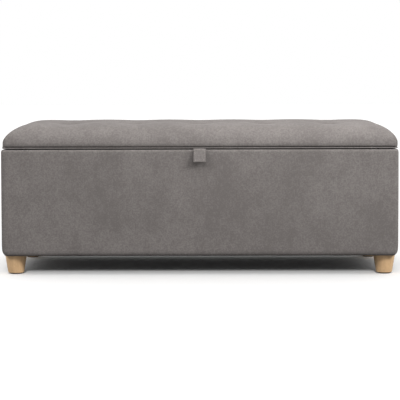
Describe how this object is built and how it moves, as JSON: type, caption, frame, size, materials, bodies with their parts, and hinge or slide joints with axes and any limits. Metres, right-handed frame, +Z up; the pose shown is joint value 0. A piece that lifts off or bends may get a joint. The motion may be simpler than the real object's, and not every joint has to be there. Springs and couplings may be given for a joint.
{
  "type": "storage bench",
  "caption": "Upholstered storage bench with a button-tufted lid hinged at the back, a fabric pull tab, sliding lid stays and short tapered wooden feet.",
  "frame": {"origin": "on the floor, under the middle of the whole bench's box, pull tab and hinge knuckles included", "axes": "+X to the viewer's right along the bench's length, +Y from the front to the hinged back, +Z up"},
  "size_m": [1.2, 0.4732, 0.458],
  "materials": {
    "ply": "sanded poplar plywood and pine, unfinished",
    "foam": "open-cell upholstery foam",
    "plush": "soft taupe-grey plush with a brushed nap",
    "lining": "black non-woven lining cloth",
    "oak": "light oak, satin lacquer",
    "rubber": "matt black rubber",
    "steel": "bright zinc-plated steel",
    "nylon": "natural nylon",
    "twine": "waxed twine"
  },
  "bodies": {
    "box": {"front_panel": "ply", "back_panel": "ply", "left_end_panel": "ply", "right_end_panel": "ply", "floor_panel": "ply", "front_left_post": "ply", "front_right_post": "ply", "back_left_post": "ply", "back_right_post": "ply", "front_left_foot_block": "ply", "front_right_foot_block": "ply", "back_left_foot_block": "ply", "back_right_foot_block": "ply", "front_batten": "ply", "back_batten": "ply", "cross_rail": "ply", "hinge_rail": "ply", "front_foam": "foam", "back_foam": "foam", "left_end_foam": "foam", "right_end_foam": "foam", "box_cover": "plush", "storage_lining": "lining", "dust_cover": "lining", "front_left_foot": "oak", "front_right_foot": "oak", "back_left_foot": "oak", "back_right_foot": "oak", "foot_glides": "rubber", "foot_bolts": "steel", "tee_nuts": "steel", "left_box_leaf": "steel", "middle_box_leaf": "steel", "right_box_leaf": "steel", "hinge_pins": "steel", "box_screws": "steel", "left_stay_track": "steel", "right_stay_track": "steel"},
    "lid": {"lid_board": "ply", "lid_foam": "foam", "lid_cover": "plush", "underside_board": "ply", "underside_cover": "plush", "tuft_buttons": "plush", "tufting_twines": "twine", "twine_clips": "nylon", "left_lid_leaf": "steel", "middle_lid_leaf": "steel", "right_lid_leaf": "steel", "lid_screws": "steel", "left_stay_bracket": "steel", "right_stay_bracket": "steel", "lid_bumpers": "rubber", "pull_tab_root": "plush"},
    "left_stay": {"left_stay_arm": "steel", "left_stay_roller": "nylon"},
    "right_stay": {"right_stay_arm": "steel", "right_stay_roller": "nylon"},
    "pull_tab": {"pull_tab": "plush"}
  },
  "joints": [
    {"name": "lid_hinge", "type": "hinge", "parent": "box", "child": "lid", "pos_m": [0, 0.23341, 0.381], "axis": [-1, 0, 0], "range_deg": [0, 80]},
    {"name": "left_stay_swing", "type": "hinge", "parent": "lid", "child": "left_stay", "pos_m": [-0.56445, 0.11341, 0.336], "axis": [1, 0, 0], "range_deg": [0, 160]},
    {"name": "right_stay_swing", "type": "hinge", "parent": "lid", "child": "right_stay", "pos_m": [0.56445, 0.11341, 0.336], "axis": [1, 0, 0], "range_deg": [0, 160]},
    {"name": "pull_tab_swing", "type": "hinge", "parent": "lid", "child": "pull_tab", "pos_m": [0, -0.22249, 0.3815], "axis": [-1, 0, 0], "range_deg": [0, 70]}
  ],
  "couplings": [
    {"joint": "left_stay_swing", "follows": "lid_hinge", "ratio": 2},
    {"joint": "right_stay_swing", "follows": "lid_hinge", "ratio": 2}
  ]
}
